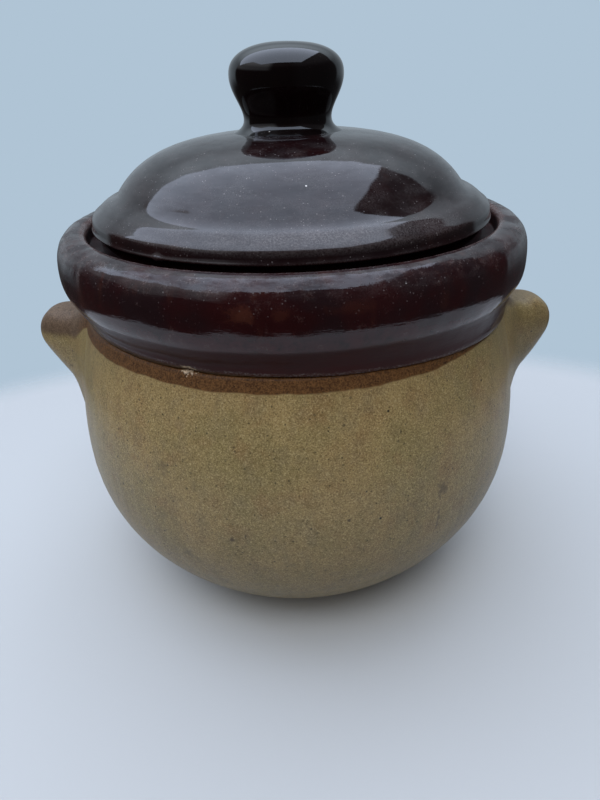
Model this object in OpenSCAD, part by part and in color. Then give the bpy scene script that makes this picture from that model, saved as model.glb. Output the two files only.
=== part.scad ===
// Stoneware confit pot with a rolled rim, two lugs and a lift-off lid, in millimetres.
// The origin is the centre of the flat base, +Z is up and the lugs lie along X.

/* [Pot body] */
// Diameter of the flat base
base_d = 118; // [90:1:150]
// Diameter of the belly at its widest
belly_d = 206; // [194:1:230]
// Height of the belly's widest point
belly_h = 78; // [50:1:90]
// Diameter of the shoulder under the rim collar
shoulder_d = 186; // [176:1:194]
// Height of the shoulder under the rim collar
shoulder_h = 137.5; // [110:0.5:180]
// Slope of the wall where it leaves the base, in degrees
base_slope = 45; // [30:1:60]
// Thickness of the thrown wall
wall = 8; // [5:0.5:12]
// Thickness of the floor
floor_t = 9; // [6:0.5:14]

/* [Rim collar] */
// Height of the neck band between the shoulder and the rolled rim
neck_h = 8; // [4:0.5:14]
// Depth of the groove under the rolled rim, in from the shoulder
groove_in = 1; // [0.5:0.5:5]
// How far the ridge at the collar's foot stands out from the shoulder
ridge_out = 0.8; // [0:0.1:2]
// Height of the ridge at the collar's foot
ridge_h = 2; // [1:0.5:4]
// Diameter over the rolled rim
roll_d = 200; // [196:1:220]
// Height of the rolled rim
roll_h = 27; // [20:1:40]
// Height of the rolled rim's widest point above its lower edge
roll_mid = 12; // [8:1:18]
// Squareness of the rolled rim's outer face: 2 is an oval, more is fuller
roll_square = 2.7; // [2:0.1:4]
// Rounding of the rolled rim's inner edge
crest_r = 2.5; // [1:0.5:4]
// Diameter of the mouth below the ledge
mouth_d = 156; // [130:1:162]
// Width of the ledge that carries the lid
ledge_w = 9; // [7:0.5:10]
// Depth of the ledge below the crest of the rim
ledge_depth = 7; // [4:0.5:12]

/* [Lugs] */
// Reach of a lug beyond the belly
lug_reach = 18; // [13:0.5:28]
// Width of a lug at the wall
lug_w = 40; // [24:1:60]
// Width to which a lug's flanks lean in at its tip
lug_tip_w = 21; // [12:1:30]
// Lean of a lug's flanks, from the width at its top, in degrees
lug_lean = 6; // [0:1:18]
// Height of a lug where it grows out of the wall
lug_drop = 46; // [38:1:60]
// Distance of a lug's top below the shoulder
lug_below = 6; // [4:0.5:16]
// Rounding of a lug's tip, seen from the side
lug_tip_r = 11; // [6:0.5:12.5]
// Rounding of a lug's upper edges along its flanks
lug_edge_r = 3.5; // [1:0.5:6]
// Rounding of a lug's end, seen from above
lug_corner_r = 14; // [8:0.5:16]

/* [Lid] */
// Gap between the lid's seat and the ledge
seat_gap = 0.3; // [0.2:0.1:1]
// Gap between the lid's brim and the rim around it
brim_gap = 2.7; // [1:0.1:5]
// Height of the brim's lower edge above the lid's seat
brim_lift = 7.2; // [4:0.2:12]
// How far the brim overhangs the seat below it
brim_over = 2.8; // [1:0.2:4]
// Thickness of the brim at its edge
brim_t = 6; // [4:0.5:9]
// Width of the brim's sloping top
brim_w = 10.8; // [6:0.2:16]
// Rise of the brim's sloping top
brim_rise = 4; // [2:0.5:8]
// Rise of the dome above the brim
dome_h = 22.3; // [14:0.1:40]
// Slope of the dome where it leaves the brim, in degrees
dome_slope = 53; // [35:1:65]
// Thickness of the lid
lid_wall = 7; // [5:0.5:9]
// Depth of the locating flange below the seat
flange_h = 9; // [4:0.5:16]
// Thickness of the locating flange
flange_t = 6; // [4:0.5:9]
// Gap between the locating flange and the mouth
flange_gap = 2.5; // [1:0.1:5]

/* [Knob] */
// Diameter of the knob at its widest
knob_d = 45.8; // [38:0.2:56]
// Height of the knob
knob_h = 31.8; // [26:0.2:42]
// Height of the knob's widest point above its foot
knob_mid = 20.3; // [16:0.1:24]
// Diameter of the knob's foot on the dome
knob_foot_d = 40; // [37:0.5:48]
// Diameter of the knob's neck
knob_neck_d = 35.8; // [24:0.2:36.8]
// Height of the knob's neck above its foot
knob_neck_h = 5; // [3:0.5:8]
// Squareness of the knob's top: 2 is an oval, more is flatter
knob_square = 2.4; // [2:0.1:4]

/* [Hidden] */
$fn = 96;

stoneware = [0.56, 0.49, 0.33];
glaze = [0.13, 0.06, 0.05];

// Points in a quarter turn or on one curve of an outline
steps = 14;
// How far the wall holds its direction at the foot, below and above the belly and at the shoulder,
// as a part of the height that each curve spans
foot_hold = 0.38;
belly_hold_low = 0.5;
belly_hold_high = 0.46;
shoulder_hold = 0.2;
// Angle on a lug's tip where its underside begins, and how far the underside holds its direction
lug_under_angle = -26;
lug_under_hold = 0.38;
lug_root_hold = [0.14, 0.25];
// How far the dome, the brim's top and the hollow under the dome hold their direction
dome_hold = 0.67;
summit_hold = [0.56, -0.04];
brim_hold = 0.3;
crease_hold = [0.35, -0.25];
hollow_hold = [0.6, 0.55];
// Angle on the brim's round edge where its sloping top begins
brim_top_angle = 60;
// How far the knob's foot, neck and widest part hold their direction
knob_foot_hold = 0.2;
knob_neck_hold = [0.4, 0.22];
knob_mid_hold = 0.29;
// Overlap of a cutting shape with the surface that it cuts
overrun = 1;

base_r = base_d / 2;
belly_r = belly_d / 2;
shoulder_r = shoulder_d / 2;
groove_r = shoulder_r - groove_in;
roll_r = roll_d / 2;
mouth_r = mouth_d / 2;
ledge_r = mouth_r + ledge_w;

roll_z = shoulder_h + neck_h;
crest_z = roll_z + roll_h;
ledge_z = crest_z - ledge_depth;

seat_z = ledge_z + seat_gap;
flange_r = mouth_r - flange_gap;
brim_r = ledge_r - brim_gap;
brim_z = seat_z + brim_lift;
brim_top_z = brim_z + brim_t;
dome_r = brim_r - brim_w;
dome_z = brim_top_z + brim_rise;
lid_top_z = dome_z + dome_h;

knob_r = knob_d / 2;
knob_foot_r = knob_foot_d / 2;
knob_neck_r = knob_neck_d / 2;

lug_top_z = shoulder_h - lug_below;
lug_tip_x = belly_r + lug_reach;

// Points on an oval arc about c, from angle a0 to angle a1
function oval(c, rx, rz, a0, a1) =
    [for (i = [0:steps]) let (a = a0 + (a1 - a0) * i / steps) c + [rx * cos(a), rz * sin(a)]];

// Points on a cubic curve from a to b that sets out along a_pull and arrives from b + b_pull
function curve(a, a_pull, b, b_pull) =
    [for (i = [0:steps]) let (t = i / steps, s = 1 - t)
        s * s * (s + 3 * t) * a + 3 * s * s * t * a_pull
        + t * t * (t + 3 * s) * b + 3 * s * t * t * b_pull];

// Points on a squared-off quarter oval about c, from its widest point to its top
function squared(c, rx, rz, n) =
    [for (i = [0:steps]) let (a = 90 * i / steps) c + [rx * pow(cos(a), 2 / n), rz * pow(sin(a), 2 / n)]];

// Vector of a given length at an angle from the horizontal
function polar(length, angle) = length * [cos(angle), sin(angle)];

// Wall of the pot from the edge of its floor to the shoulder, set in by the wall's thickness for the inside
function wall_line(inset, floor_z) =
    let (
        foot = [base_r - inset, floor_z],
        belly = [belly_r - inset, belly_h],
        shoulder = [shoulder_r - inset, shoulder_h],
        low = belly_h - floor_z,
        high = shoulder_h - belly_h,
        shoulder_pull = [(belly_r - shoulder_r) / 3, -high * shoulder_hold]
    )
    concat(
        curve(foot, polar(low * foot_hold, base_slope), belly, [0, -low * belly_hold_low]),
        curve(belly, [0, high * belly_hold_high], shoulder, shoulder_pull)
    );

// The same points from last to first
function reversed(points) = [for (i = [len(points) - 1:-1:0]) points[i]];

// Solid of revolution about Z from an outline of [radius, height] points
module turned(points) {
    rotate_extrude() polygon(points);
}

// Thrown body: a round-bellied wall on a flat base, open at the shoulder
module pot_body() {
    outside = wall_line(0, 0);
    inside = wall_line(wall, floor_t);
    color(stoneware)
    turned(concat([[0, 0]], outside, reversed(inside), [[0, floor_t]]));
}

// Collar luted on the shoulder: neck band, rolled rim, and the ledge inside it for the lid
module rim_collar() {
    ridge = [shoulder_r + ridge_out, shoulder_h + ridge_h / 2];
    groove = [groove_r, roll_z];
    band = curve(ridge, [0, ridge_h], groove, [0, -neck_h / 2]);
    roll_centre = [ledge_r + crest_r, roll_z + roll_mid];
    underside = oval([groove_r, roll_z + roll_mid], roll_r - groove_r, roll_mid, -90, 0);
    crown = squared(roll_centre, roll_r - ledge_r - crest_r, roll_h - roll_mid, roll_square);
    inner_edge = oval([ledge_r + crest_r, crest_z - crest_r], crest_r, crest_r, 90, 180);
    bore = [
        [ledge_r, ledge_z],
        [mouth_r, ledge_z],
        [mouth_r, roll_z],
        [shoulder_r - wall, shoulder_h],
        [shoulder_r, shoulder_h]
    ];
    color(glaze)
    turned(concat(band, underside, crown, inner_edge, bore));
}

// Side view of a lug: level top, round tip, and an underside that sweeps back into the wall
module lug_side() {
    tip = [lug_tip_x - lug_tip_r, lug_top_z - lug_tip_r];
    under = tip + polar(lug_tip_r, lug_under_angle);
    root = [belly_r, lug_top_z - lug_drop];
    under_pull = polar(lug_drop * lug_under_hold, lug_under_angle - 90);
    root_pull = [lug_reach * lug_root_hold[0], lug_drop * lug_root_hold[1]];
    polygon(concat(
        [[shoulder_r - wall, lug_top_z]],
        oval(tip, lug_tip_r, lug_tip_r, 90, lug_under_angle),
        curve(under, under_pull, root, root_pull),
        [[shoulder_r - wall, lug_top_z - lug_drop]]
    ));
}

// Rectangle from [0, -w/2] to [l, w/2] with round corners at its far end
module round_ended(l, w, r) {
    half = w / 2 - r;
    polygon(concat(
        [[0, -w / 2]],
        oval([l - r, -half], r, r, -90, 0),
        oval([l - r, half], r, r, 0, 90),
        [[0, w / 2]]
    ));
}

// Space inside one flank of a lug: it leans in downwards and towards the tip, and its upper edge is round
module lug_flank(side) {
    taper = atan((lug_w - lug_tip_w) / 2 / (lug_tip_x - shoulder_r));
    translate([shoulder_r, side * lug_w / 2, lug_top_z])
    rotate([-side * lug_lean, 0, -side * taper])
    translate([-lug_w, -side * lug_w, -lug_top_z])
    rotate([0, -90, 0])
    mirror([0, 0, 1])
        linear_extrude(3 * lug_w) round_ended(lug_top_z, 2 * lug_w, lug_edge_r);
}

// One lug on the +X side, cut to the curve of the wall
module lug() {
    color(stoneware)
    difference() {
        intersection() {
            rotate([90, 0, 0]) linear_extrude(2 * lug_w, center = true) lug_side();
            linear_extrude(shoulder_h) round_ended(lug_tip_x, lug_w + overrun, lug_corner_r);
            lug_flank(1);
            lug_flank(-1);
        }
        turned(concat([[0, 0]], wall_line(0, 0), [[0, shoulder_h]]));
    }
}

module lug_right() {
    lug();
}

module lug_left() {
    rotate(180) lug();
}

// Domed lid: brim, seat on the ledge, and a flange that drops into the mouth
module lid() {
    seat_r = brim_r - brim_over;
    edge_r = brim_t / 2;
    edge = [brim_r - edge_r, brim_z + edge_r];
    foot = [dome_r, dome_z];
    summit = [knob_foot_r, lid_top_z];
    hollow_r = flange_r - flange_t;
    hollow_top = [0, lid_top_z - lid_wall];
    hollow_side = [hollow_r, dome_z - lid_wall - brim_rise];
    hollow_rise = hollow_top[1] - hollow_side[1];
    hollow = curve(
        hollow_top, [hollow_r * hollow_hold[0], 0],
        hollow_side, [0, hollow_rise * hollow_hold[1]]
    );
    underside = [
        [hollow_r, seat_z - flange_h],
        [flange_r, seat_z - flange_h],
        [flange_r, seat_z],
        [seat_r, seat_z],
        [seat_r, brim_z]
    ];
    brim = oval(edge, edge_r, edge_r, -90, brim_top_angle);
    shoulder = curve(
        brim[steps], polar(brim_w * brim_hold, brim_top_angle + 90),
        foot, [brim_w * crease_hold[0], brim_rise * crease_hold[1]]
    );
    dome = curve(
        foot, polar(dome_h * dome_hold, 180 - dome_slope),
        summit, [(dome_r - knob_foot_r) * summit_hold[0], dome_h * summit_hold[1]]
    );
    color(glaze)
    turned(concat(hollow, underside, brim, shoulder, dome, [[0, lid_top_z]]));
}

// Solid knob on the dome: spreading foot, narrow neck and a flattened top
module lid_knob() {
    foot = [knob_foot_r, lid_top_z];
    neck = [knob_neck_r, lid_top_z + knob_neck_h];
    widest = [knob_r, lid_top_z + knob_mid];
    foot_pull = [knob_neck_r - knob_foot_r, knob_neck_h * knob_foot_hold];
    fillet = curve(foot, foot_pull, neck, [0, -knob_neck_h * knob_neck_hold[0]]);
    flare = curve(neck, [0, knob_mid * knob_neck_hold[1]], widest, [0, -knob_mid * knob_mid_hold]);
    cap = squared([0, widest[1]], knob_r, knob_h - knob_mid, knob_square);
    color(glaze)
    turned(concat([[0, lid_top_z]], fillet, flare, cap));
}

pot_body();
rim_collar();
lug_left();
lug_right();
lid();
lid_knob();
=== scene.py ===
import math

import bpy
import numpy as np
from mathutils import Matrix, Vector


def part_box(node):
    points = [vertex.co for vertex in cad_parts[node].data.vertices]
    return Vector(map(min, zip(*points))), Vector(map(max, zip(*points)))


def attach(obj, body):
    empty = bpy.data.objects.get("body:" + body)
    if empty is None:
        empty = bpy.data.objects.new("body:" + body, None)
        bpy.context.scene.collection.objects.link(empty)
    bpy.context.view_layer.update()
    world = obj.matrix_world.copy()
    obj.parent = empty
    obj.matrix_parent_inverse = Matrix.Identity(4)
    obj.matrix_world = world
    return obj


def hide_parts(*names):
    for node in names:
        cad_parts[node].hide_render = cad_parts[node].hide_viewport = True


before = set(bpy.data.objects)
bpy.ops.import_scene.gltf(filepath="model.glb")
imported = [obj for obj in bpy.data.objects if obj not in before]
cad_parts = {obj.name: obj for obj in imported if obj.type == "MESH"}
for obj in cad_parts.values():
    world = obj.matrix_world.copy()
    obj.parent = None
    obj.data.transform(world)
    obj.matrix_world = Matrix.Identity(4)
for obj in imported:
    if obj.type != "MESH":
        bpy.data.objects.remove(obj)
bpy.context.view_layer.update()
mm = 0.001
print("frame loaded:", ", ".join(sorted(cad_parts)))


# Outlines are (radius, height) points in millimetres, run so that the solid lies on their left.

def bend(start, startPull, end, endPull, count=80):
    # cubic curve that leaves start along startPull and reaches end from end + endPull
    t = np.linspace(0, 1, count)[:, None]
    s = 1 - t
    a, aPull, b, bPull = (np.array(v, float) for v in (start, startPull, end, endPull))
    return s**2 * (s + 3*t) * a + 3*s**2*t * aPull + t**2 * (t + 3*s) * b + 3*s*t**2 * bPull


def arc(centre, across, up, fromAngle, toAngle, count=60):
    # oval arc: centre + (across cos a, up sin a)
    a = np.radians(np.linspace(fromAngle, toAngle, count))
    return np.array(centre) + np.stack([across * np.cos(a), up * np.sin(a)], 1)


def crown(centre, across, up, squareness, count=160):
    # quarter of a squared oval, x^n + z^n = 1, from its widest point to its top
    a = np.radians(np.linspace(0, 90, count))
    power = 2 / squareness
    return np.array(centre) + np.stack([across * np.cos(a)**power, up * np.sin(a)**power], 1)


def polar(length, angle):
    return length * np.array([math.cos(math.radians(angle)), math.sin(math.radians(angle))])


def softened(outline, step, softness, closed=False, crowding=1.6):
    # corners rounded by a Gaussian blur along the outline, then points about a step apart, closer where
    # it turns; returns the points, their outward normals and how sharply they turn, in 1/mm and above 0
    # where convex
    fine = 0.1
    points = np.vstack([outline, outline[:1]]) if closed else np.array(outline, float)
    length = np.linalg.norm(np.diff(points, axis=0), axis=1)
    points = points[np.r_[True, length > 1e-6]]
    run = np.r_[0, np.cumsum(length[length > 1e-6])]
    even = np.linspace(0, run[-1], int(run[-1] / fine), endpoint=not closed)
    path = np.stack([np.interp(even, run, points[:, k]) for k in (0, 1)], 1)
    reach = int(4 * softness / fine)
    kernel = np.exp(-0.5 * (np.arange(-reach, reach + 1) * fine / softness)**2)
    before, after = path[-reach:], path[:reach]
    if not closed:
        before, after = 2*path[0] - path[reach:0:-1], 2*path[-1] - path[-2:-reach - 2:-1]
    padded = np.vstack([before, path, after])
    path = np.stack([np.convolve(padded[:, k], kernel / kernel.sum(), "valid") for k in (0, 1)], 1)
    wrapped = np.vstack([path[-2:], path, path[:2]]) if closed else path
    tangent = np.gradient(wrapped, axis=0)
    heading = np.unwrap(np.arctan2(tangent[:, 1], tangent[:, 0]))
    turn = np.gradient(heading) / np.linalg.norm(tangent, axis=1)
    inner = slice(2, -2) if closed else slice(None)
    heading, turn = heading[inner], turn[inner]
    density = np.cumsum((1 + crowding * np.abs(turn)) * fine / step)
    wanted = np.linspace(density[0], density[-1], int(density[-1]) + 1, endpoint=not closed)
    read = [np.interp(wanted, density, v) for v in (path[:, 0], path[:, 1], heading, turn)]
    normal = np.stack([np.sin(read[2]), -np.cos(read[2])], 1)
    return np.stack(read[:2], 1), normal, read[3]


def ripple(azimuth, height, radius, wave, seed, terms=24):
    # smooth swell with a root mean square of 1: cosines about a wave long in seeded directions, each
    # going round a whole number of times at the radius
    draw = np.random.default_rng(seed)
    heading = draw.uniform(0, np.pi, terms)
    rate = 2*np.pi / (wave * draw.uniform(0.8, 1.8, terms))
    phase = draw.uniform(0, 2*np.pi, terms)
    turns = np.round(rate * np.cos(heading) * radius)
    climb = rate * np.sin(heading)
    waves = (np.cos(n*azimuth + k*height + p) for n, k, p in zip(turns, climb, phase))
    return sum(waves) / math.sqrt(terms / 2)


def near(value, centre, width):
    # bell of height 1 about centre
    return np.exp(-((value - centre) / width)**2)


def turned(shape, columns, lift):
    # x = r sin a, y = -r cos a, z = h, with azimuth a from the front; lift(a, r, h) moves points along
    # their normal, and less than 4 mm from the axis it fades out
    points, normal = shape[:2]
    azimuth = np.linspace(-np.pi, np.pi, columns, endpoint=False)[None, :]
    radius, height = points[:, :1], points[:, 1:]
    swell = lift(azimuth, radius, height) * np.minimum(1, radius / 4)
    radius = radius + swell * normal[:, :1]
    height = height + swell * normal[:, 1:]
    return np.stack([radius * np.sin(azimuth), -radius * np.cos(azimuth), height], -1)


def azimuthOf(grid):
    return np.arctan2(grid[..., 0], -grid[..., 1])


def edges(shape):
    # 1 on edges rounded by 2.2 mm or less, -1 in such hollows, 0 where flat
    return np.clip(shape[2] * 2.2, -1, 1)[:, None]


def makeMesh(name, grid, closedRows):
    # rows lie along the outline and columns go round; a row that shrinks to a point becomes one vertex;
    # returns the mesh and which grid points it keeps
    rows, columns = grid.shape[:2]
    pole = np.ptp(grid, axis=1).max(axis=1) < 1e-6
    kept = ~pole[:, None] | (np.arange(columns) == 0)
    ids = np.cumsum(kept.ravel()).reshape(rows, columns) - 1
    lower = ids if closedRows else ids[:-1]
    upper = np.roll(ids, -1, 0) if closedRows else ids[1:]
    corners = np.stack([lower, np.roll(lower, -1, 1), np.roll(upper, -1, 1), upper], -1).reshape(-1, 4)
    fromPole, toPole = corners[:, 0] == corners[:, 1], corners[:, 2] == corners[:, 3]
    quads = corners[~fromPole & ~toPole]
    fans = np.vstack([corners[fromPole][:, [0, 2, 3]], corners[toPole][:, [0, 1, 2]]])
    spots = grid[kept] * mm
    a, b, c = (spots[quads[:, k]] for k in (0, 1, 2))
    if np.einsum("ij,ij->", a, np.cross(b, c)) < 0:  # faces look inwards
        quads, fans = quads[:, ::-1], fans[:, ::-1]
    mesh = bpy.data.meshes.new(name)
    mesh.vertices.add(len(spots))
    mesh.vertices.foreach_set("co", spots.astype(np.float32).ravel())
    mesh.loops.add(quads.size + fans.size)
    mesh.loops.foreach_set("vertex_index", np.r_[quads.ravel(), fans.ravel()].astype(np.int32))
    mesh.polygons.add(len(quads) + len(fans))
    starts = np.r_[np.arange(len(quads)) * 4, quads.size + np.arange(len(fans)) * 3]
    mesh.polygons.foreach_set("loop_start", starts.astype(np.int32))
    mesh.polygons.foreach_set("use_smooth", np.ones(len(starts), bool))
    mesh.update(calc_edges=True)
    return mesh, kept


def makePiece(name, grid, closedRows, node, body, material, fields):
    # fields are values per grid point that the material reads as attributes
    mesh, kept = makeMesh(name, grid, closedRows)
    for field, values in fields.items():
        layer = mesh.attributes.new(field, "FLOAT", "POINT")
        layer.data.foreach_set("value", np.broadcast_to(values, kept.shape)[kept].astype(np.float32))
    mesh.materials.append(material)
    piece = bpy.data.objects.new(name, mesh)
    bpy.context.scene.collection.objects.link(piece)
    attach(piece, body)
    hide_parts(node)
    print(f"{name}: {len(mesh.vertices)} points, {len(mesh.polygons)} faces")


class Wire:
    # one socket of a node tree: sums and products of wires add Math nodes

    def __init__(self, tree, socket):
        self.tree = tree
        self.socket = socket

    def node(self, kind, settings, inputs, output=0):
        made = self.tree.nodes.new(kind)
        for key, value in settings.items():
            setattr(made, key, value)
        for key, value in inputs.items():
            if isinstance(value, Wire):
                self.tree.links.new(value.socket, made.inputs[key])
            else:
                made.inputs[key].default_value = value
        return Wire(self.tree, made.outputs[output])

    def out(self, name):
        return Wire(self.tree, self.socket.node.outputs[name])

    def math(self, operation, first, second=0.0):
        return self.node("ShaderNodeMath", {"operation": operation}, {0: first, 1: second})

    def __add__(self, other):
        return self.math("ADD", self, other)

    def __radd__(self, other):
        return self.math("ADD", other, self)

    def __sub__(self, other):
        return self.math("SUBTRACT", self, other)

    def __rsub__(self, other):
        return self.math("SUBTRACT", other, self)

    def __mul__(self, other):
        return self.math("MULTIPLY", self, other)

    def __rmul__(self, other):
        return self.math("MULTIPLY", other, self)

    def __truediv__(self, other):
        return self.math("DIVIDE", self, other)

    def __rtruediv__(self, other):
        return self.math("DIVIDE", other, self)

    def most(self, other):
        return self.math("MAXIMUM", self, other)

    def least(self, other):
        return self.math("MINIMUM", self, other)

    def root(self):
        return self.math("SQRT", self)

    def between(self, low, high):
        # 0 at low and 1 at high, with a smooth step; low may be the greater
        return self.node("ShaderNodeMapRange", {"interpolation_type": "SMOOTHSTEP"},
                         {"Value": self, "From Min": low, "From Max": high})

    def tint(self, first, second):
        # colour from first to second as this value goes from 0 to 1
        return self.node("ShaderNodeMix", {"data_type": "RGBA"}, {0: self, 6: first, 7: second}, 2)

    def lit(self, amount):
        # this colour or vector times a value
        return self.node("ShaderNodeVectorMath", {"operation": "SCALE"}, {0: self, "Scale": amount})

    def stretched(self, shares):
        return self.node("ShaderNodeVectorMath", {"operation": "MULTIPLY"}, {0: self, 1: shares})

    def part(self, axis):
        return self.node("ShaderNodeSeparateXYZ", {}, {0: self}, axis)

    def field(self, name):
        # value that the mesh carries under this name, 0 where it has none
        return self.node("ShaderNodeAttribute", {"attribute_name": name}, {}, "Fac")

    def noise(self, size, detail=2.0, roughness=0.5):
        return self.node("ShaderNodeTexNoise", {},
                         {"Vector": self, "Scale": 1 / size, "Detail": detail, "Roughness": roughness})

    def cells(self, size):
        return self.node("ShaderNodeTexVoronoi", {}, {"Vector": self, "Scale": 1 / size})

    def specks(self, size, share, small, large):
        # round dots in a share of the cells, their radius from small to large as parts of a cell
        blur = 0.03
        cell = self.cells(size)
        chance = cell.out("Color").part(0)
        radius = small + (large - small) * cell.out("Color").part(1)
        return (cell - radius).between(blur, -blur) * chance.between(1 - share, 1 - share + 0.01)

    def patch(self, centre, spread):
        # distance from a spot in spreads, 1 on the edge of the oval
        away = self.node("ShaderNodeVectorMath", {"operation": "SUBTRACT"}, {0: self, 1: centre})
        spreads = away.stretched(tuple(1 / s for s in spread))
        return spreads.node("ShaderNodeVectorMath", {"operation": "LENGTH"}, {0: spreads}, 1)


def paint(red, green, blue):
    # colour by its screen values, 0 to 255, in linear light
    share = np.array([red, green, blue]) / 255
    linear = np.where(share <= 0.04045, share / 12.92, ((share + 0.055) / 1.055)**2.4)
    return (*linear.tolist(), 1.0)


def newMaterial(name, sockets):
    # a material, a wire of object coordinates and its shader, whose constant values are set on its own
    # sockets
    material = bpy.data.materials.new(name)
    material.use_nodes = True
    shader = material.node_tree.nodes["Principled BSDF"]
    for socket, value in sockets.items():
        shader.inputs[socket].default_value = value
    coordinates = material.node_tree.nodes.new("ShaderNodeTexCoord")
    return material, Wire(material.node_tree, coordinates.outputs["Object"]), shader


def overlaid(place, shader, sockets, share):
    # a second shader that covers a share of the first
    tree = place.tree
    second = tree.nodes.new("ShaderNodeBsdfPrincipled")
    for socket, value in sockets.items():
        second.inputs[socket].default_value = value
    mix = place.node("ShaderNodeMixShader", {}, {0: share})
    tree.links.new(shader.outputs[0], mix.socket.node.inputs[1])
    tree.links.new(second.outputs[0], mix.socket.node.inputs[2])
    tree.links.new(mix.socket, tree.nodes["Material Output"].inputs["Surface"])
    return second


def finishWith(place, shader, colour, roughness, height, depth):
    # colour, roughness and a bump of the given depth onto the shader
    bump = place.node("ShaderNodeBump", {}, {"Height": height, "Strength": 1.0, "Distance": depth})
    for socket, wire in (("Base Color", colour), ("Roughness", roughness), ("Normal", bump)):
        place.tree.links.new(wire.socket, shader.inputs[socket])


def onWall(azimuth, radius, height):
    # spot on the pot by degrees from the front and millimetres, in metres
    a = math.radians(azimuth)
    return (radius * math.sin(a) * mm, -radius * math.cos(a) * mm, height * mm)


def spotted(place, colour, spots, fray, edge, hue):
    # spots are (azimuth, radius, height, spread in mm, strength), their edges frayed by a wire
    for azimuth, radius, height, spread, strength in spots:
        away = place.patch(onWall(azimuth, radius, height), tuple(s * mm for s in spread))
        colour = ((away + fray).between(*edge) * strength).tint(colour, hue)
    return colour


# Where the glaze has broken away at the foot of the rim

chip = {
    "azimuth": -23.9,
    "radius": 93.2,
    "height": 138.2,
    "spread": (3.6 * mm, 3.0 * mm, 2.1 * mm),
    "grainSize": 1.3 * mm,
    "fray": 1.8,
    "biteDepth": 0.5,
    "biteDrop": 1.0,
    "biteWidth": 1.7,
    "biteHeight": 1.5,
}


def chipped(place):
    # 1 on the chip, with a frayed edge
    away = place.patch(onWall(chip["azimuth"], chip["radius"], chip["height"]), chip["spread"])
    return (away + chip["fray"] * (place.noise(chip["grainSize"], 2) - 0.5)).between(1.0, 0.8)


# Salt-glazed stoneware

stoneware = {
    "khaki": paint(150, 127, 83),
    "straw": paint(190, 170, 126),
    "olive": paint(137, 120, 77),
    "brown": paint(132, 102, 65),
    "drab": paint(126, 112, 84),
    "grain": paint(74, 55, 29),
    "low": paint(137, 114, 62),
    "speck": paint(28, 21, 14),
    "bare": paint(190, 170, 140),
    "inside": paint(128, 100, 66),
    "cream": paint(214, 190, 160),
    "stain": paint(78, 64, 46),
    "band": (paint(62, 38, 16), paint(116, 80, 44)),
    "neck": (paint(66, 48, 34), paint(98, 74, 52)),
    "lugBand": (paint(76, 58, 42), paint(110, 90, 70)),
    "stains": ((31.9, 102.6, 85.0, (3.2, 3.2, 4.6), 0.62), (31.5, 102.6, 66.0, (0.9, 0.9, 16.0), 0.62),
               (45.4, 102.6, 55.5, (2.4, 2.4, 3.0), 0.62), (-15.0, 102.8, 74.0, (1.3, 1.3, 1.3), 0.9),
               (-14.0, 102.7, 71.0, (0.8, 0.8, 0.8), 0.9), (58.0, 103.0, 80.0, (1.0, 1.0, 1.7), 0.9),
               (36.5, 101.5, 106.0, (1.0, 1.0, 1.0), 0.9), (31.6, 101.7, 104.0, (0.9, 0.9, 0.9), 0.9),
               (9.5, 102.9, 83.0, (0.9, 0.9, 0.9), 0.9), (-30.0, 102.0, 100.0, (2.8, 2.8, 3.8), 0.45),
               (-27.0, 101.5, 60.0, (2.4, 2.4, 2.4), 0.45)),
    "grainSize": 0.56 * mm,
    "cloudSize": 34 * mm,
    "runSize": 4 * mm,
    "specks": (3.2 * mm, 0.5, 0.045, 0.17),
    "pits": (8 * mm, 0.4, 0.03, 0.075),
    "dots": (2.1 * mm, 0.35, 0.08, 0.19),
    "dashes": (4 * mm, 0.35, 0.03, 0.1),
    "warmBelow": (100 * mm, 20 * mm),
    # painted shade: the glaze is darkened towards the bottom
    "paintedShadeBelow": (125 * mm, 12 * mm),
    "bareBelow": (1.6 * mm, 0.5 * mm),
    "bandWave": (9 * mm, 1.6 * mm),
    "bandGrain": 1.1 * mm,
    "bandSoft": 0.35 * mm,
    "lugBandSoft": 1.9 * mm,
    "reliefDepth": 0.11 * mm,
    "gloss": {"IOR": 1.38, "Coat Weight": 0.12, "Coat Roughness": 0.18},
}


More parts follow.
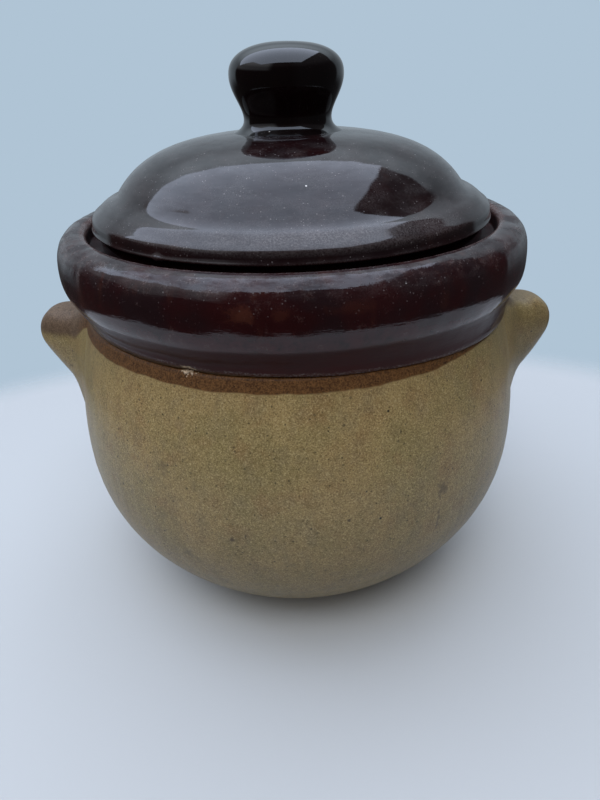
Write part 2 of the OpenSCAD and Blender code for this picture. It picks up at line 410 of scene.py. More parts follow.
def makeStoneware(name):
    # khaki glaze of light and dark grains under clouds and runs, with iron specks and a toasted band;
    # painted shade darkens it towards the bottom and on the right lug
    look = stoneware
    material, place, shader = newMaterial(name, look["gloss"])
    height = place.part(2)
    inside, onLug = place.field("inside"), place.field("onLug")
    fine = place.noise(look["grainSize"], 3, 0.7)
    coarse = place.noise(3 * look["grainSize"], 2, 0.6)
    cloud = place.noise(look["cloudSize"], 4, 0.55)
    warm = place.noise(0.36 * look["cloudSize"], 4, 0.62)
    blotch = place.stretched((1, 1, 0.7)).noise(0.22 * look["cloudSize"], 3, 0.6)
    runs = place.stretched((1, 1, 0.09)).noise(look["runSize"], 3)
    colour = cloud.between(0.36, 0.64).tint(look["olive"], look["khaki"])
    colour = (warm.between(0.47, 0.72) * 0.6).tint(colour, look["brown"])
    colour = (height.between(*look["warmBelow"]) * 0.5).tint(colour, look["low"])
    colour = (blotch.between(0.52, 0.3) * 0.3).tint(colour, look["drab"])
    colour = (fine.between(0.48, 0.74) * 0.85).tint(colour, look["straw"])
    colour = (fine.between(0.5, 0.24) * 0.95).tint(colour, look["grain"])
    toneNoise = 0.5 * (coarse - 0.5) + 0.22 * (runs - 0.5) + 0.2 * (blotch - 0.5)
    # toneNoise varies the tone at random; paintedShadeBelow is painted shade, darker towards the bottom
    colour = colour.lit(1 + toneNoise - 0.36 * height.between(*look["paintedShadeBelow"]))
    colour = (inside * 0.75).tint(colour, look["inside"])

    # toasted band above a wavering line
    waveSize, waveDepth = look["bandWave"]
    wobble = (place.noise(waveSize, 2) - 0.5) * waveDepth + (fine - 0.5) * look["bandGrain"]
    soft = look["bandSoft"] + look["lugBandSoft"] * onLug
    band = (height + wobble - place.field("bandLine")).between(0 - soft, soft) * (1 - inside)
    grains = (0.75 * fine + 0.25 * coarse).between(0.36, 0.64)
    toasted = onLug.tint(grains.tint(*look["band"]), grains.tint(*look["lugBand"]))
    # lugShade darkens the lug: painted shade, set on the right lug
    colour = band.tint(colour, toasted).lit(1 - place.field("lugShade"))

    # specks, pits, scratches, stains, the chip and the unglazed base
    specks, pits, dots = (place.specks(*look[k]) for k in ("specks", "pits", "dots"))
    dashes = place.stretched((1, 1, 0.4)).specks(*look["dashes"])
    flaws = ((dots * 0.6).most(dashes * 0.6) + specks * 0.5).most(pits)
    colour = flaws.tint(colour, look["speck"])
    colour = spotted(place, colour, look["stains"], 1.6 * (coarse - 0.5), (1.1, 0.3), look["stain"])
    colour = chipped(place).tint(colour, fine.between(0.3, 0.6).tint(look["stain"], look["cream"]))
    bare = height.between(*look["bareBelow"])
    colour = bare.tint(colour, look["bare"])

    rough = 0.38 + 0.24 * fine - 0.14 * runs + 0.3 * band + 0.3 * bare
    relief = 0.62 * fine + 0.5 * coarse - 0.8 * flaws
    finishWith(place, shader, colour, rough, relief, look["reliefDepth"])
    return material


saltGlaze = makeStoneware("saltGlaze")
print("stoneware finish made")


# Dark glaze

darkGlaze = {
    "dark": paint(33, 18, 20),
    "red": paint(42, 12, 13),
    "rust": paint(76, 40, 29),
    "floorReflectionTint": paint(106, 52, 56),
    # brown on the neck is a painted reflection of the shaded body below it
    "brown": paint(68, 18, 10),
    "dust": paint(156, 149, 147),
    # near-white flecks: dust, partly painted glints
    "glintWhite": paint(240, 236, 232),
    "rustSpots": ((-9.5, 99.8, 162.6, (6.5, 5.0, 3.0), 0.8), (-2.5, 99.6, 163.0, (4.0, 5.0, 2.6), 0.35),
                  (11.0, 99.4, 163.5, (9.0, 5.0, 2.6), 0.25)),
    "grainSize": 0.6 * mm,
    "mottleSize": 4.2 * mm,
    "cloudSize": 17 * mm,
    "wipedSize": 11 * mm,
    "runSize": 6 * mm,
    "grooveSize": 4 * mm,
    "streakSize": 8 * mm,
    "grit": (1.1 * mm, 0.5, 0.05, 0.25),
    "dustGlints": (7 * mm, 0.3, 0.012, 0.04),
    "bareWave": 2 * mm,
    "bareSoft": 0.3 * mm,
    "settled": 3.4,
    "gloss": {"IOR": 1.5},
    "dullGloss": {"IOR": 1.18},
}


def makeDarkGlaze(name, own):
    # near-black glaze that breaks red where it is thin on edges, worn dull in streaks, under dust
    look = darkGlaze
    redness, dustiness = own["redness"], own["dust"]
    material, place, shader = newMaterial(name, look["gloss"])
    onNeck, onLedge = place.field("onNeck"), place.field("onLedge")
    upward = place.node("ShaderNodeNewGeometry", {}, {}, "Normal").part(2)
    fine = place.noise(look["grainSize"], 2, 0.7)
    mottle = place.noise(look["mottleSize"], 4, 0.62)
    cloud = place.noise(look["cloudSize"], 3)
    wiped = place.stretched((1, 1, 2.6)).noise(look["wipedSize"], 4, 0.6)
    runs = place.stretched((1, 1, 0.3)).noise(look["runSize"], 3)
    grooves = place.stretched((0.3, 0.3, 2.4)).noise(look["grooveSize"], 3, 0.6)
    streaks = place.stretched((0.6, 0.6, 3.0)).noise(look["streakSize"], 5, 0.68)
    thin = (place.field("edge") + 1.4 * (mottle - 0.5)).between(0.2, 0.9) * own["breaks"]
    under = upward.between(0.05, -0.45) * (1 - onNeck) * redness
    colour = (cloud.between(0.4, 0.66) * redness).tint(look["dark"], look["red"])
    # down-facing parts tinted mauve: painted reflection of the pale floor
    colour = (under * mottle.between(0.2, 0.6) * 0.3).tint(colour, look["floorReflectionTint"])
    # the neck painted dull red-brown: painted reflection of the shaded body below it
    colour = (onNeck * 0.5).tint(colour, look["brown"])
    colour = (thin * (0.6 * redness)).tint(colour, look["rust"])
    colour = (thin * fine.between(0.46, 0.62) * (0.45 * redness)).tint(colour, look["dust"])
    colour = (runs.between(0.56, 0.78) * (0.35 * redness)).tint(colour, look["rust"])
    colour = spotted(place, colour, look["rustSpots"], 3.0 * (mottle - 0.5), (1.2, 0.1), look["rust"])
    colour = colour.lit(own["lightness"])

    # film of dust and grit on what faces up, and near-white flecks of dust that are partly painted glints
    # knobShade keeps the dust film off around the knob so the dome is darker there: painted shade
    film = upward.between(0.1, 0.7) * wiped.between(0.38, 0.66) * (1 - place.field("knobShade"))
    dust = film + look["settled"] * place.field("settled")
    dust = dust * (0.3 + 0.7 * fine.between(0.36, 0.66)) * dustiness
    grit = place.specks(*look["grit"]) * upward.between(-0.2, 0.5) * dustiness
    dustGlints = place.specks(*look["dustGlints"]) * upward.between(0.0, 0.4)
    colour = (dust * 0.08).tint(colour, look["dust"])
    colour = (grit * (0.12 + 0.3 * wiped.between(0.42, 0.68))).tint(colour, look["dust"])
    colour = dustGlints.tint(colour, look["glintWhite"])

    # the chip, and bare clay below a wavering line
    broken = chipped(place)
    colour = broken.tint(colour, fine.between(0.3, 0.6).tint(stoneware["stain"], stoneware["cream"]))
    line = place.field("bareLine") - place.part(2) + look["bareWave"] * (mottle - 0.5)
    bare = line.between(-look["bareSoft"], look["bareSoft"])
    colour = bare.tint(colour, fine.between(0.36, 0.64).tint(*stoneware["neck"]))

    rough = 0.02 + 0.05 * dust + 0.02 * mottle + 0.2 * grit + 0.3 * bare + 0.5 * broken + 0.3 * dustGlints
    relief = 0.9 * cloud + 0.55 * mottle + 0.6 * grooves + 0.1 * fine + 0.1 * grit + 0.2 * dustGlints
    finishWith(place, shader, colour, rough, relief, own["waviness"])
    worn = (streaks.between(0.42, 0.66) + 0.5 * thin) * upward.between(0.1, 0.7) * own["wear"]
    worn = worn + 0.9 * onNeck + 0.3 * under + 0.95 * onLedge
    dull = overlaid(place, shader, look["dullGloss"], worn.least(1.0))
    finishWith(place, dull, colour, 0.3 + 0.2 * fine, relief, own["waviness"])
    return material


rimLook = {"redness": 1.0, "dust": 1.0, "wear": 0.7, "lightness": 0.85, "breaks": 1.0,
           "waviness": 0.13 * mm}
lidLook = {"redness": 0.6, "dust": 0.95, "wear": 0.15, "lightness": 0.5, "breaks": 0.2,
           "waviness": 0.025 * mm}
knobLook = {"redness": 0.3, "dust": 0.2, "wear": 0.0, "lightness": 0.15, "breaks": 0.1,
            "waviness": 0.02 * mm}
rimGlaze = makeDarkGlaze("rimGlaze", rimLook)
lidGlaze = makeDarkGlaze("lidGlaze", lidLook)
knobGlaze = makeDarkGlaze("knobGlaze", knobLook)
print("dark glazes made")


def extent(node):
    # lowest and highest corner of a CAD node in millimetres
    return [np.array(corner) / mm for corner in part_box(node)]


# Thrown body; a swell's shape is its radius, wave length and seed, and pulls are shares of a stretch

potBody = {
    "baseRadius": 59.0,
    "footSlope": 45.0,
    "footPull": 0.38,
    "bellyHeight": 78.0,
    "bellyPulls": (0.5, 0.46),
    "shoulderRadius": 92.4,
    "shoulderPull": 0.2,
    "wall": 8.0,
    "floor": 9.0,
    "columns": 480,
    "step": 2.7,
    "softness": 1.0,
    "swell": 0.15,
    "swellShape": (100, 150, 3),
    "ringDepth": 0.035,
    "ringPitch": 8.0,
    "ringWander": 0.7,
    "trueBase": 25.0,
    "trueRim": 12.0,
    "inside": {"behind": 2.0, "fade": 4.0, "above": 4.0},
    "lineHeight": 132.1,
    "lineRise": (2.4, 62.0, 26.0),
}


def bodyWall(settings, inset, floor):
    # foot, belly and shoulder joined by two curves; inset by the wall's thickness for the inside
    high = extent("pot_body")[1]
    belly, top, bellyHeight = high[0], high[2], settings["bellyHeight"]
    foot = (settings["baseRadius"] - inset, floor)
    middle = (belly - inset, bellyHeight)
    shoulder = (settings["shoulderRadius"] - inset, top)
    rise, climb = bellyHeight - floor, top - bellyHeight
    lean = (belly - settings["shoulderRadius"]) / 3
    down, up = settings["bellyPulls"]
    lower = bend(foot, polar(rise * settings["footPull"], settings["footSlope"]), middle, (0, -rise * down))
    upper = bend(middle, (0, climb * up), shoulder, (lean, -climb * settings["shoulderPull"]))
    return np.vstack([lower, upper])


def bandLine(azimuth):
    # lower edge of the toasted band: level at the front, rising towards the right-hand lug
    rise, at, width = potBody["lineRise"]
    return potBody["lineHeight"] + rise * near(np.degrees(azimuth), at, width)


def makeBody(settings):
    # outline up the outside, over the shoulder and down the inside, turned about the axis
    outer, inner = bodyWall(settings, 0, 0), bodyWall(settings, settings["wall"], settings["floor"])
    outline = np.vstack([[(0, 0)], outer, inner[::-1], [(0, settings["floor"])]])
    shape = softened(outline, settings["step"], settings["softness"])
    points, top = shape[0], outer[-1, 1]

    def lift(azimuth, radius, height):
        # slow swell and throwing rings, true at the base and the rim
        wander = settings["ringWander"] * np.sin(azimuth + 1)
        rings = settings["ringDepth"] * np.cos(2*np.pi * height / settings["ringPitch"] + wander)
        swell = settings["swell"] * ripple(azimuth, height, *settings["swellShape"])
        loose = np.clip(height / settings["trueBase"], 0, 1)
        return loose * np.clip((top - height) / settings["trueRim"], 0, 1) * (swell + rings)

    grid = turned(shape, settings["columns"], lift)
    inside = settings["inside"]
    depth = np.interp(points[:, 1], outer[:, 1], outer[:, 0]) - points[:, 0]
    within = np.clip((depth - inside["behind"]) / inside["fade"], 0, 1) * (points[:, 1] > inside["above"])
    fields = {"inside": within[:, None], "bandLine": bandLine(azimuthOf(grid)) * mm}
    makePiece("stonewareBody", grid, False, "pot_body", "pot", saltGlaze, fields)
    return outer


wallOutline = makeBody(potBody)


# Rim: lip of glaze, neck band, roll and the ledge inside it; runs are (azimuth, depth, width)

rim = {
    "footRadius": 92.4,
    "lip": (93.6, 2.1),
    "lipPulls": ((0.7, 0.2), (-0.05, -0.9)),
    "slant": {"front": 1.26, "side": 2.8, "spread": 0.3},
    "neck": (93.9, 4.1),
    "neckPulls": ((0.05, 0.9), (-0.2, -0.7)),
    "neckHeight": 8.0,
    "grooveRadius": 92.0,
    "underAngle": -45.0,
    "bareNeck": 8.0,
    "wipedFrom": 49.0,
    "wipedFade": 9.0,
    "rollMid": 12.0,
    "rollSquare": 2.7,
    "crestRound": 2.5,
    "mouthRadius": 78.0,
    "ledgeWidth": 9.0,
    "ledgeDepth": 7.0,
    "wall": 8.0,
    "columns": 640,
    "step": 1.15,
    "softness": 0.8,
    "swell": 0.14,
    "swellShape": (98, 110, 7),
    "waves": (0.07, 0.028),
    "waveShapes": ((98, 24, 8), (98, 9, 9)),
    "runHeight": (163.0, 7.0),
    "runs": ((-1.8, 0.45, 1.3), (-13.5, 0.3, 2.6), (7.0, 0.3, 2.2), (21.0, 0.28, 3.0),
             (-31.0, 0.3, 3.4), (48.0, 0.3, 2.8), (-58.0, 0.25, 3.0), (96.0, 0.35, 3.2),
             (141.0, 0.3, 2.4), (-122.0, 0.35, 3.0)),
}


def lipSlant(azimuth):
    # the glaze was dipped on the slant: its lip lies high at the left and low at the right
    slant = rim["slant"]
    return slant["front"] * (np.cos(azimuth) - 1) - slant["side"] * np.sin(azimuth)


def besideLugs(azimuth):
    # 0 at the front and back, 1 next to a lug, where the neck was wiped bare
    folded = np.abs((np.degrees(azimuth) + 90) % 180 - 90)
    return np.clip((folded - rim["wipedFrom"]) / rim["wipedFade"], 0, 1)


def makeRim(settings):
    # closed outline from the foot up the outside, over the roll and down to the ledge and the mouth
    low, high = extent("rim_collar")
    foot, crest, roll = low[2], high[2], high[0]
    groove, mouth = settings["grooveRadius"], settings["mouthRadius"]
    ledge, ledgeHeight = mouth + settings["ledgeWidth"], crest - settings["ledgeDepth"]
    neckTop = foot + settings["neckHeight"]
    footRadius, crestRound = settings["footRadius"], settings["crestRound"]
    lip, neck = (np.array(settings[k]) + (0, foot) for k in ("lip", "neck"))
    middle = neckTop + settings["rollMid"]
    edge = ledge + crestRound
    underside = arc((groove, middle), roll - groove, settings["rollMid"], settings["underAngle"], 0)
    lipPulls, neckPulls = settings["lipPulls"], settings["neckPulls"]
    outline = np.vstack([
        [(footRadius - settings["wall"], foot), (footRadius - 1, foot), (footRadius, foot - 0.2)],
        bend((footRadius + 0.05, foot + 0.1), lipPulls[0], lip, lipPulls[1]),
        bend(lip, neckPulls[0], neck, neckPulls[1]),
        underside,
        crown((edge, middle), roll - edge, crest - middle, settings["rollSquare"]),
        arc((edge, crest - crestRound), crestRound, crestRound, 90, 180),
        [(ledge, ledgeHeight), (mouth, ledgeHeight), (mouth, neckTop)],
    ])
    shape = softened(outline, settings["step"], settings["softness"], True)

    def lift(azimuth, radius, height):
        # slow swell and waves, runs of glaze down the roll's face, and the chip bitten out of the lip
        outside = np.clip((radius - ledge - 1) / 4, 0, 1)
        degrees = np.degrees(azimuth)
        runs = sum(depth * near(degrees, at, width) for at, depth, width in settings["runs"])
        runs = runs * near(height, *settings["runHeight"])
        bitten = near(height, chip["height"] - chip["biteDrop"], chip["biteHeight"]) * outside
        bitten = bitten * near(degrees, chip["azimuth"], chip["biteWidth"])
        waves = sum(depth * ripple(azimuth, height, *form)
                    for depth, form in zip(settings["waves"], settings["waveShapes"]))
        swell = settings["swell"] * ripple(azimuth, height, *settings["swellShape"])
        return (swell + runs + waves) * outside - chip["biteDepth"] * bitten

    grid = turned(shape, settings["columns"], lift)
    azimuth = azimuthOf(grid)
    radius, height = shape[0].T[:, :, None]
    outer = radius > groove - 0.5
    follows = np.clip((height - foot) / 0.2, 0, 1) * np.clip((neckTop - height) / (neckTop - lip[1]), 0, 1)
    follows = follows * outer
    slip = lipSlant(azimuth)
    grid[..., 2] += slip * follows
    spread = settings["slant"]["spread"] * np.maximum(-slip, 0) * follows
    grid[..., :2] *= (1 + spread / radius)[..., None]
    bare = foot + 0.2 + slip + settings["bareNeck"] * besideLugs(azimuth)
    fields = {
        "edge": edges(shape),
        "bareLine": bare * mm,
        "onNeck": np.clip(underside[0, 1] - height, 0, 1) * outer,
        "onLedge": np.clip(ledge + 1 - radius, 0, 1),
    }
    makePiece("glazedRim", grid, True, "rim_collar", "pot", rimGlaze, fields)
    return np.array([lip, neck, underside[0]])


neckOutline = makeRim(rim)


# Lugs: a side outline carried across the width, flared into the wall

lug = {
    "underAngle": -26.0,
    "underHold": 0.38,
    "rootHold": (0.14, 0.25),
    "reach": 18.0,
    "rootDepth": 6.0,
    "squareness": 3.2,
    "centre": {"out": 2.0, "down": 0.42},
    "width": {"wallX": 93.0, "half": 20.0, "taper": 0.34, "lean": 0.1, "least": 5.0},
    "fillet": {"side": (9.0, 8.0), "top": (9.0, 8.0), "under": (3.0, 4.0)},
    "flarePower": 2.2,
    "sink": 0.2,
    "clear": 6.0,
    "columns": 240,
    "rows": 141,
    "step": 0.6,
    "softness": 1.0,
    "lumps": 0.12,
    "lumpRadius": 30.0,
    "lumpWave": 16.0,
    # lugShade is painted shade on a lug, used on the right one
    "left": {"longer": 0.0, "lift": 2.0, "underDrop": 2.0, "tipRound": 11.0,
             "line": 123.5, "lugShade": 0.0, "seed": 21},
    "right": {"longer": 0.8, "lift": 0.0, "underDrop": 4.0, "tipRound": 12.5,
              "line": 132.0, "lugShade": 0.27, "seed": 22},
}


def makeLug(side, node, settings):
    # x, z = centre + k (outline - centre) and y = e times the half width there, where k^n + e^n = 1;
    # near the wall, at a distance d under b, they flare along it by a (1 - d/b)^p
    own = settings[side]
    low, high = extent(node)
    reachX, tipRound = max(high[0], -low[0]), own["tipRound"]
    top, root = high[2] + own["lift"], low[2] + own["lift"] - own["underDrop"]
    drop = top - root
    tip = np.array([reachX + own["longer"] - tipRound, top - tipRound])
    under = tip + polar(tipRound, settings["underAngle"])
    belly = reachX - settings["reach"]
    seat = np.vstack([wallOutline, neckOutline])
    innerTop, innerRoot = np.interp((top, root), seat[:, 1], seat[:, 0]) - settings["rootDepth"]
    hold = settings["rootHold"]
    outline = np.vstack([
        [(innerTop, top)],
        arc(tip, tipRound, tipRound, 90, settings["underAngle"]),
        bend(under, polar(drop * settings["underHold"], settings["underAngle"] - 90),
             (belly, root), (settings["reach"] * hold[0], drop * hold[1])),
        [(innerRoot, root)],
    ])[::-1]
    points = softened(outline, settings["step"], settings["softness"], True)[0]
    run = np.r_[0, np.cumsum(np.linalg.norm(np.diff(np.vstack([points, points[:1]]), axis=0), axis=1))]
    even = np.linspace(0, run[-1], settings["columns"], endpoint=False)
    points = np.stack([np.interp(even, run, np.r_[points[:, i], points[0, i]]) for i in (0, 1)], 1)
    centre = np.array([belly + settings["centre"]["out"], top - settings["centre"]["down"] * drop])
    n = settings["squareness"]
    psi = np.linspace(-np.pi / 2, np.pi / 2, settings["rows"])[:, None]
    scale = (np.abs(np.cos(psi))**n + np.abs(np.sin(psi))**n)**(-1 / n)
    k, e = np.cos(psi) * scale, np.sin(psi) * scale
    k[0], k[-1] = 0, 0
    spoke = points - centre
    x, z = centre[0] + k * spoke[:, 0], centre[1] + k * spoke[:, 1]
    width = settings["width"]
    half = width["half"] - width["taper"] * (x - width["wallX"]) - width["lean"] * (top - z)
    half = width["least"] + np.logaddexp(0, half - width["least"])  # never under the least, without a kink
    y = half * e
    length = np.linalg.norm(spoke, axis=1)
    sideways = np.sign(e) * np.abs(e)**(n - 1) / half + 0 * x
    upright = k**(n - 1) / length * spoke[:, 1] / length
    size = np.hypot(sideways, upright) + 1e-9
    sideways, upright = sideways / size, upright / size
    fillet = settings["fillet"]
    spread, reach = (np.abs(sideways) * fillet["side"][i] + np.maximum(upright, 0) * fillet["top"][i]
                     + np.maximum(-upright, 0) * fillet["under"][i] for i in (0, 1))
    away = np.hypot(x, y) - np.interp(z, seat[:, 1], seat[:, 0])
    flare = spread * (1 - np.clip(away / reach, 0, 1))**settings["flarePower"]
    lumpRadius = settings["lumpRadius"]
    lumps = settings["lumps"] * ripple(y / lumpRadius, z, lumpRadius, settings["lumpWave"], own["seed"])
    y, z = y + flare * sideways, z + flare * upright
    radius = np.interp(z, seat[:, 1], seat[:, 0]) + away - settings["sink"] + lumps * (away > 0)
    x = np.sqrt(radius**2 - y**2)
    turn = 1 if side == "right" else -1
    grid = np.stack([turn * x, turn * y, z], -1)
    standing = np.clip(away / settings["clear"], 0, 1)
    onLug = standing**2 * (3 - 2 * standing)
    line = bandLine(azimuthOf(grid)) * (1 - onLug) + own["line"] * onLug
    fields = {"bandLine": line * mm, "onLug": onLug, "lugShade": own["lugShade"] * onLug}
    makePiece(side + "Lug", grid, False, node, "pot", saltGlaze, fields)


makeLug("left", "lug_left", lug)
makeLug("right", "lug_right", lug)


# Lid: hollow, locating flange, seat, brim and dome

lid = {
    "brimRound": 3.0,
    "beadRound": 0.55,
    "beadDrop": 0.2,
    "beadAngles": (-90, 75),
    "faceInset": 0.85,
    "brimOver": 2.8,
    "brimLift": 7.2,
    "brimRise": 4.0,
    "brimWidth": 10.8,
    "brimTopAngle": 60.0,
    "brimSlope": 15.0,
    "brimPull": 0.2,
    "hollow": 3.2,
    "hollowPull": 0.6,
    "domeSlope": 53.0,
    "domePull": 0.6,
    "summitRadius": 20.0,
    "summitPulls": (0.56, 0.04),
    "flangeDepth": 9.0,
    "flangeGap": 8.8,
    "flangeThickness": 6.0,
    "thickness": 7.0,
    "ceilingPulls": (0.6, 0.55),
    "columns": 480,
    "step": 2.0,
    "softness": 0.25,
    "crowding": 6,
    "swells": (0.12, 0.02, 0.004),
    "swellShapes": ((60, 110, 11), (60, 30, 12), (60, 9, 13)),
    "ringDepth": 0.015,
    "ringPitch": 5.3,
    "ringWander": 0.8,
    "drip": {"azimuth": -33.0, "width": 1.1, "height": 173.2, "spread": 1.6, "depth": 0.7},
    "dustLine": 4.6,
    "dustWidth": 3.4,
    "dustSide": (5.0, 32.0),
    # knobShade: painted shade around the knob, where the dust film fades out
    "knobShadeRadius": 46.0,
    "knobShadeFade": 16.0,
}


def makeLid(settings):
    # outline from the axis under the dome, round the flange, the seat and the brim and over the dome
    low, high = extent("lid")
    brim, flangeFoot, summit = high[0], low[2], high[2]
    seat = flangeFoot + settings["flangeDepth"]
    under = seat + settings["brimLift"]
    r, brimWidth, brimSlope = settings["brimRound"], settings["brimWidth"], settings["brimSlope"]
    domeFoot, domeRadius = under + 2*r + settings["brimRise"], brim - brimWidth
    domeSlope, summitRadius = settings["domeSlope"], settings["summitRadius"]
    rise = summit - domeFoot
    seatRadius = brim - settings["brimOver"]
    flange = brim - settings["flangeGap"]
    inner = flange - settings["flangeThickness"]
    ceiling, spring = summit - settings["thickness"], domeFoot - settings["thickness"] - settings["brimRise"]
    bead, beadFoot = settings["beadRound"], under - settings["beadDrop"]
    corner, hollow = np.array([domeRadius, domeFoot]), settings["hollow"]
    brimEnd = corner - polar(hollow, 180 - brimSlope)
    domeStart = corner + polar(hollow, 180 - domeSlope)
    over = arc((brim - settings["faceInset"] - r, under + r), r, r, 0, settings["brimTopAngle"])
    brimPull, hollowPull = brimWidth * settings["brimPull"], hollow * settings["hollowPull"]
    ceilingPulls, summitPulls = settings["ceilingPulls"], settings["summitPulls"]
    outline = np.vstack([
        bend((0, ceiling), (inner * ceilingPulls[0], 0),
             (inner, spring), (0, (ceiling - spring) * ceilingPulls[1])),
        [(inner, flangeFoot), (flange, flangeFoot), (flange, seat), (seatRadius, seat)],
        [(seatRadius, beadFoot)],
        arc((brim - bead, beadFoot + bead), bead, bead, *settings["beadAngles"]),
        over,
        bend(over[-1], polar(brimPull, settings["brimTopAngle"] + 90), brimEnd, polar(brimPull, -brimSlope)),
        bend(brimEnd, polar(hollowPull, 180 - brimSlope), domeStart, polar(hollowPull, -domeSlope)),
        bend(domeStart, polar(rise * settings["domePull"], 180 - domeSlope), (summitRadius, summit),
             ((domeRadius - summitRadius) * summitPulls[0], -rise * summitPulls[1])),
        [(0, summit)],
    ])
    shape = softened(outline, settings["step"], settings["softness"], crowding=settings["crowding"])

    def lift(azimuth, radius, height):
        # slow swells, faint rings from the wheel, and a drip on the brim's lower edge
        top = np.clip((height - under) / 4, 0, 1) * np.clip((radius - summitRadius - 2) / 8, 0, 1)
        wander = settings["ringWander"] * np.sin(azimuth)
        rings = settings["ringDepth"] * np.cos(2*np.pi * radius / settings["ringPitch"] + wander)
        swells = sum(depth * ripple(azimuth, radius, *form)
                     for depth, form in zip(settings["swells"], settings["swellShapes"]))
        drip = settings["drip"]
        drop = near(np.degrees(azimuth), drip["azimuth"], drip["width"])
        drop = drop * near(height, drip["height"], drip["spread"]) * (radius > seatRadius - 1)
        return top * (swells + rings) + drip["depth"] * drop

    grid = turned(shape, settings["columns"], lift)
    radius, height = shape[0].T[:, :, None]
    settled = near(radius, brim - settings["dustLine"], settings["dustWidth"]) * (height > under + r)
    fields = {
        "edge": edges(shape),
        "settled": settled * near(np.degrees(azimuthOf(grid)), *settings["dustSide"]),
        "knobShade": np.clip((settings["knobShadeRadius"] - radius) / settings["knobShadeFade"], 0, 1),
    }
    makePiece("domedLid", grid, False, "lid", "lid", lidGlaze, fields)


makeLid(lid)


# Knob

knob = {
    "footRadius": 27.0,
    "footDrop": 1.2,
    "footPull": (-6, 1),
    "neckRadius": 17.9,
    "neckHeight": 5.0,
    "neckPulls": (0.7, 0.22),
    "widestHeight": 20.3,
    "widestPull": 0.29,
    "squareness": 2.4,
    "columns": 256,
    "step": 0.9,
    "softness": 0.4,
    "swell": 0.08,
    "swellShape": (20, 45, 15),
    "trueFoot": 5.0,
    "edgeShare": 0.4,
}


def makeKnob(settings):
    # outline from the axis along the flared foot, up the neck and over the head
    low, high = extent("lid_knob")
    foot, top, widest = low[2], high[2], high[0]
    ground = foot - settings["footDrop"]
    neckHeight, widestHeight = settings["neckHeight"], settings["widestHeight"]
    neck = (settings["neckRadius"], foot + neckHeight)
    middle = foot + widestHeight
    below, above = settings["neckPulls"]
    outline = np.vstack([
        [(0, ground)],
        bend((settings["footRadius"], ground), settings["footPull"], neck, (0, -neckHeight * below)),
        bend(neck, (0, widestHeight * above), (widest, middle), (0, -widestHeight * settings["widestPull"])),
        crown((0, middle), widest, top - middle, settings["squareness"]),
    ])
    shape = softened(outline, settings["step"], settings["softness"])

    def lift(azimuth, radius, height):
        loose = np.clip((height - foot) / settings["trueFoot"], 0, 1)
        return settings["swell"] * ripple(azimuth, height, *settings["swellShape"]) * loose

    grid = turned(shape, settings["columns"], lift)
    fields = {"edge": edges(shape) * settings["edgeShare"]}
    makePiece("lidKnob", grid, False, "lid_knob", "lid", knobGlaze, fields)


makeKnob(knob)


# Camera at the photograph's viewing angle

view = {
    "eye": (0.0, -0.271, 0.228),
    "pitch": 29.0,
    "yaw": 0.22,
    "roll": -1.95,
    "lens": 27.0,
    "sensor": 36.0,
    "nearest": 0.01,
}


def makeCamera(settings):
    pitch, yaw, roll = (math.radians(settings[k]) for k in ("pitch", "yaw", "roll"))
    level = np.array([math.cos(yaw), -math.sin(yaw), 0])
    forward = np.array([math.sin(yaw), math.cos(yaw), 0])
    ahead = forward * math.cos(pitch) - np.array([0, 0, math.sin(pitch)])
    upright = np.cross(level, ahead)
    right = level * math.cos(roll) + upright * math.sin(roll)
    up = upright * math.cos(roll) - level * math.sin(roll)
    data = bpy.data.cameras.new("photoCamera")
    data.lens, data.sensor_width = settings["lens"], settings["sensor"]
    data.clip_start = settings["nearest"]
    camera = bpy.data.objects.new("photoCamera", data)
    turn = np.stack([right, up, -ahead], 1)
    camera.matrix_world = Matrix.Translation(settings["eye"]) @ Matrix(turn.tolist()).to_4x4()
    bpy.context.scene.collection.objects.link(camera)
    bpy.context.scene.camera = camera


makeCamera(view)
print("camera set")


# Plain pale floor that fades into the background, and a soft overhead light

studio = {
    "floorRadius": 800.0,
    "floorDrop": 0.2,
    "floorSides": 96,
    "floorColour": paint(184, 185, 184),
    "floorRoughness": 0.9,
    "floorCentre": (0.0, -0.04, 0.0),
    "floorSpread": (1.0, 0.72, 1.0),
    "fade": (0.35, 0.42),
    "backdrop": paint(176, 196, 213),
    "overhead": (2.04, 2.33, 2.88, 1.0),
    "wall": (0.36, 0.42, 0.475, 1.0),
    "panel": (0.3, 0.31, 0.33, 1.0),
    "dim": (0.05, 0.05, 0.055, 1.0),
    "shade": (0.03, 0.026, 0.026, 1.0),
    "dimSide": (0.1, 0.6),
    "panelSide": (-0.45, -0.7),
    "panelUp": (0.2, 0.36),
    "wallAhead": (0.42, 0.54),
    "wallBack": (0.76, 0.82),
    "wallUp": (-0.3, 0.05),
    "wallSlope": 0.2,
    "wallRise": 1.5,
    "wallRiseUp": (0.42, 0.7),
    "box": {"left": -1.0, "right": 0.56, "front": -0.75, "back": 0.86, "slant": 0.12,
            "cutLeft": 0.25, "flareLeft": 1.2, "soft": 0.02, "leftSoft": 0.06, "above": (0.05, 0.1)},
    "key": {"from": (-0.05, -0.9, 1.2), "size": 0.7, "power": 7.3, "colour": (1.0, 0.98, 0.95)},
}


def makeFloor(settings):
    # flat disc of radius r, whose alpha falls from 1 to 0 between two ovals
    radius = np.array([0, settings["floorRadius"]])[:, None]
    azimuth = np.linspace(0, 2*np.pi, settings["floorSides"], endpoint=False)
    level = 0 * radius * azimuth - settings["floorDrop"]
    grid = np.stack([radius * np.sin(azimuth), -radius * np.cos(azimuth), level], -1)
    mesh = makeMesh("floor", grid, False)[0]
    sockets = {"Roughness": settings["floorRoughness"], "Base Color": settings["floorColour"]}
    material, place, shader = newMaterial("floor", sockets)
    away = place.patch(settings["floorCentre"], settings["floorSpread"])
    inner, outer = settings["fade"]
    place.tree.links.new(away.between(outer, inner).socket, shader.inputs["Alpha"])
    mesh.materials.append(material)
    floor = bpy.data.objects.new("floor", mesh)
    bpy.context.scene.collection.objects.link(floor)


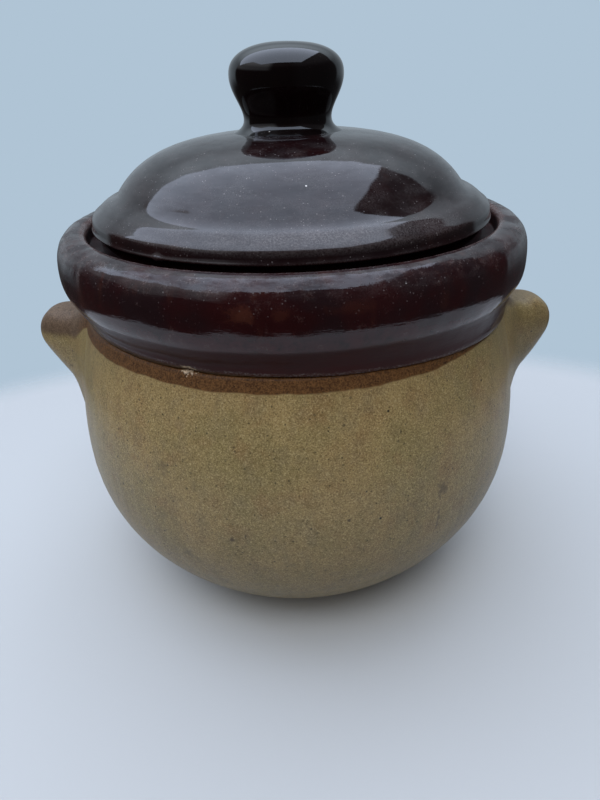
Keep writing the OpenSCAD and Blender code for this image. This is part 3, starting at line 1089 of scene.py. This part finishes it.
def makeSky(settings):
    # straight-edged soft box overhead, pale wall behind, panel at the left, dim right and shade in
    # front; the box's edges are (across, along) / up, and the camera itself sees the backdrop
    world = bpy.data.worlds.new("studio")
    bpy.context.scene.world = world
    world.use_nodes = True
    tree = world.node_tree
    coordinates = tree.nodes.new("ShaderNodeTexCoord")
    direction = Wire(tree, coordinates.outputs["Generated"])
    across, along, up = (direction.part(k) for k in (0, 1, 2))
    level = (1.0001 - up * up).root()
    side, ahead = across / level, along / level
    rise = up.most(0.05)
    right, back = across / rise, along / rise

    light = side.between(*settings["dimSide"]).tint(settings["shade"], settings["dim"])
    panel = side.between(*settings["panelSide"]) * up.between(*settings["panelUp"])
    light = panel.tint(light, settings["panel"])
    behind = ahead.between(*settings["wallAhead"]) * back.between(*settings["wallBack"])
    light = (behind * up.between(*settings["wallUp"])).tint(light, settings["wall"])
    brighter = 1 + settings["wallRise"] * up.between(*settings["wallRiseUp"])
    light = light.lit((1 - settings["wallSlope"] * side) * brighter)

    box = settings["box"]
    soft, leftSoft = box["soft"], box["leftSoft"]
    left = right + box["flareLeft"] * back.most(0.0)
    front = back - box["slant"] * right + box["cutLeft"] * right.least(0.0)
    within = right.between(box["right"] + soft, box["right"] - soft)
    within = within * left.between(box["left"] - leftSoft, box["left"] + leftSoft)
    within = within * back.between(box["back"] + soft, box["back"] - soft)
    within = within * front.between(box["front"] - soft, box["front"] + soft)
    light = (within * up.between(*box["above"])).tint(light, settings["overhead"])
    seen = light.node("ShaderNodeLightPath", {}, {}, "Is Camera Ray")
    tree.links.new(seen.tint(light, settings["backdrop"]).socket, tree.nodes["Background"].inputs["Color"])


def makeKey(settings):
    # soft lamp above the front, left out of reflections
    data = bpy.data.lights.new("keyLamp", "AREA")
    data.size, data.energy, data.color = settings["size"], settings["power"], settings["colour"]
    lamp = bpy.data.objects.new("keyLamp", data)
    lamp.location = settings["from"]
    lamp.rotation_euler = (-Vector(settings["from"])).to_track_quat("-Z", "Y").to_euler()
    lamp.visible_glossy = False
    bpy.context.scene.collection.objects.link(lamp)


makeFloor(studio)
makeSky(studio)
makeKey(studio["key"])
bpy.context.scene.view_settings.view_transform = "Standard"
print("floor and light set")
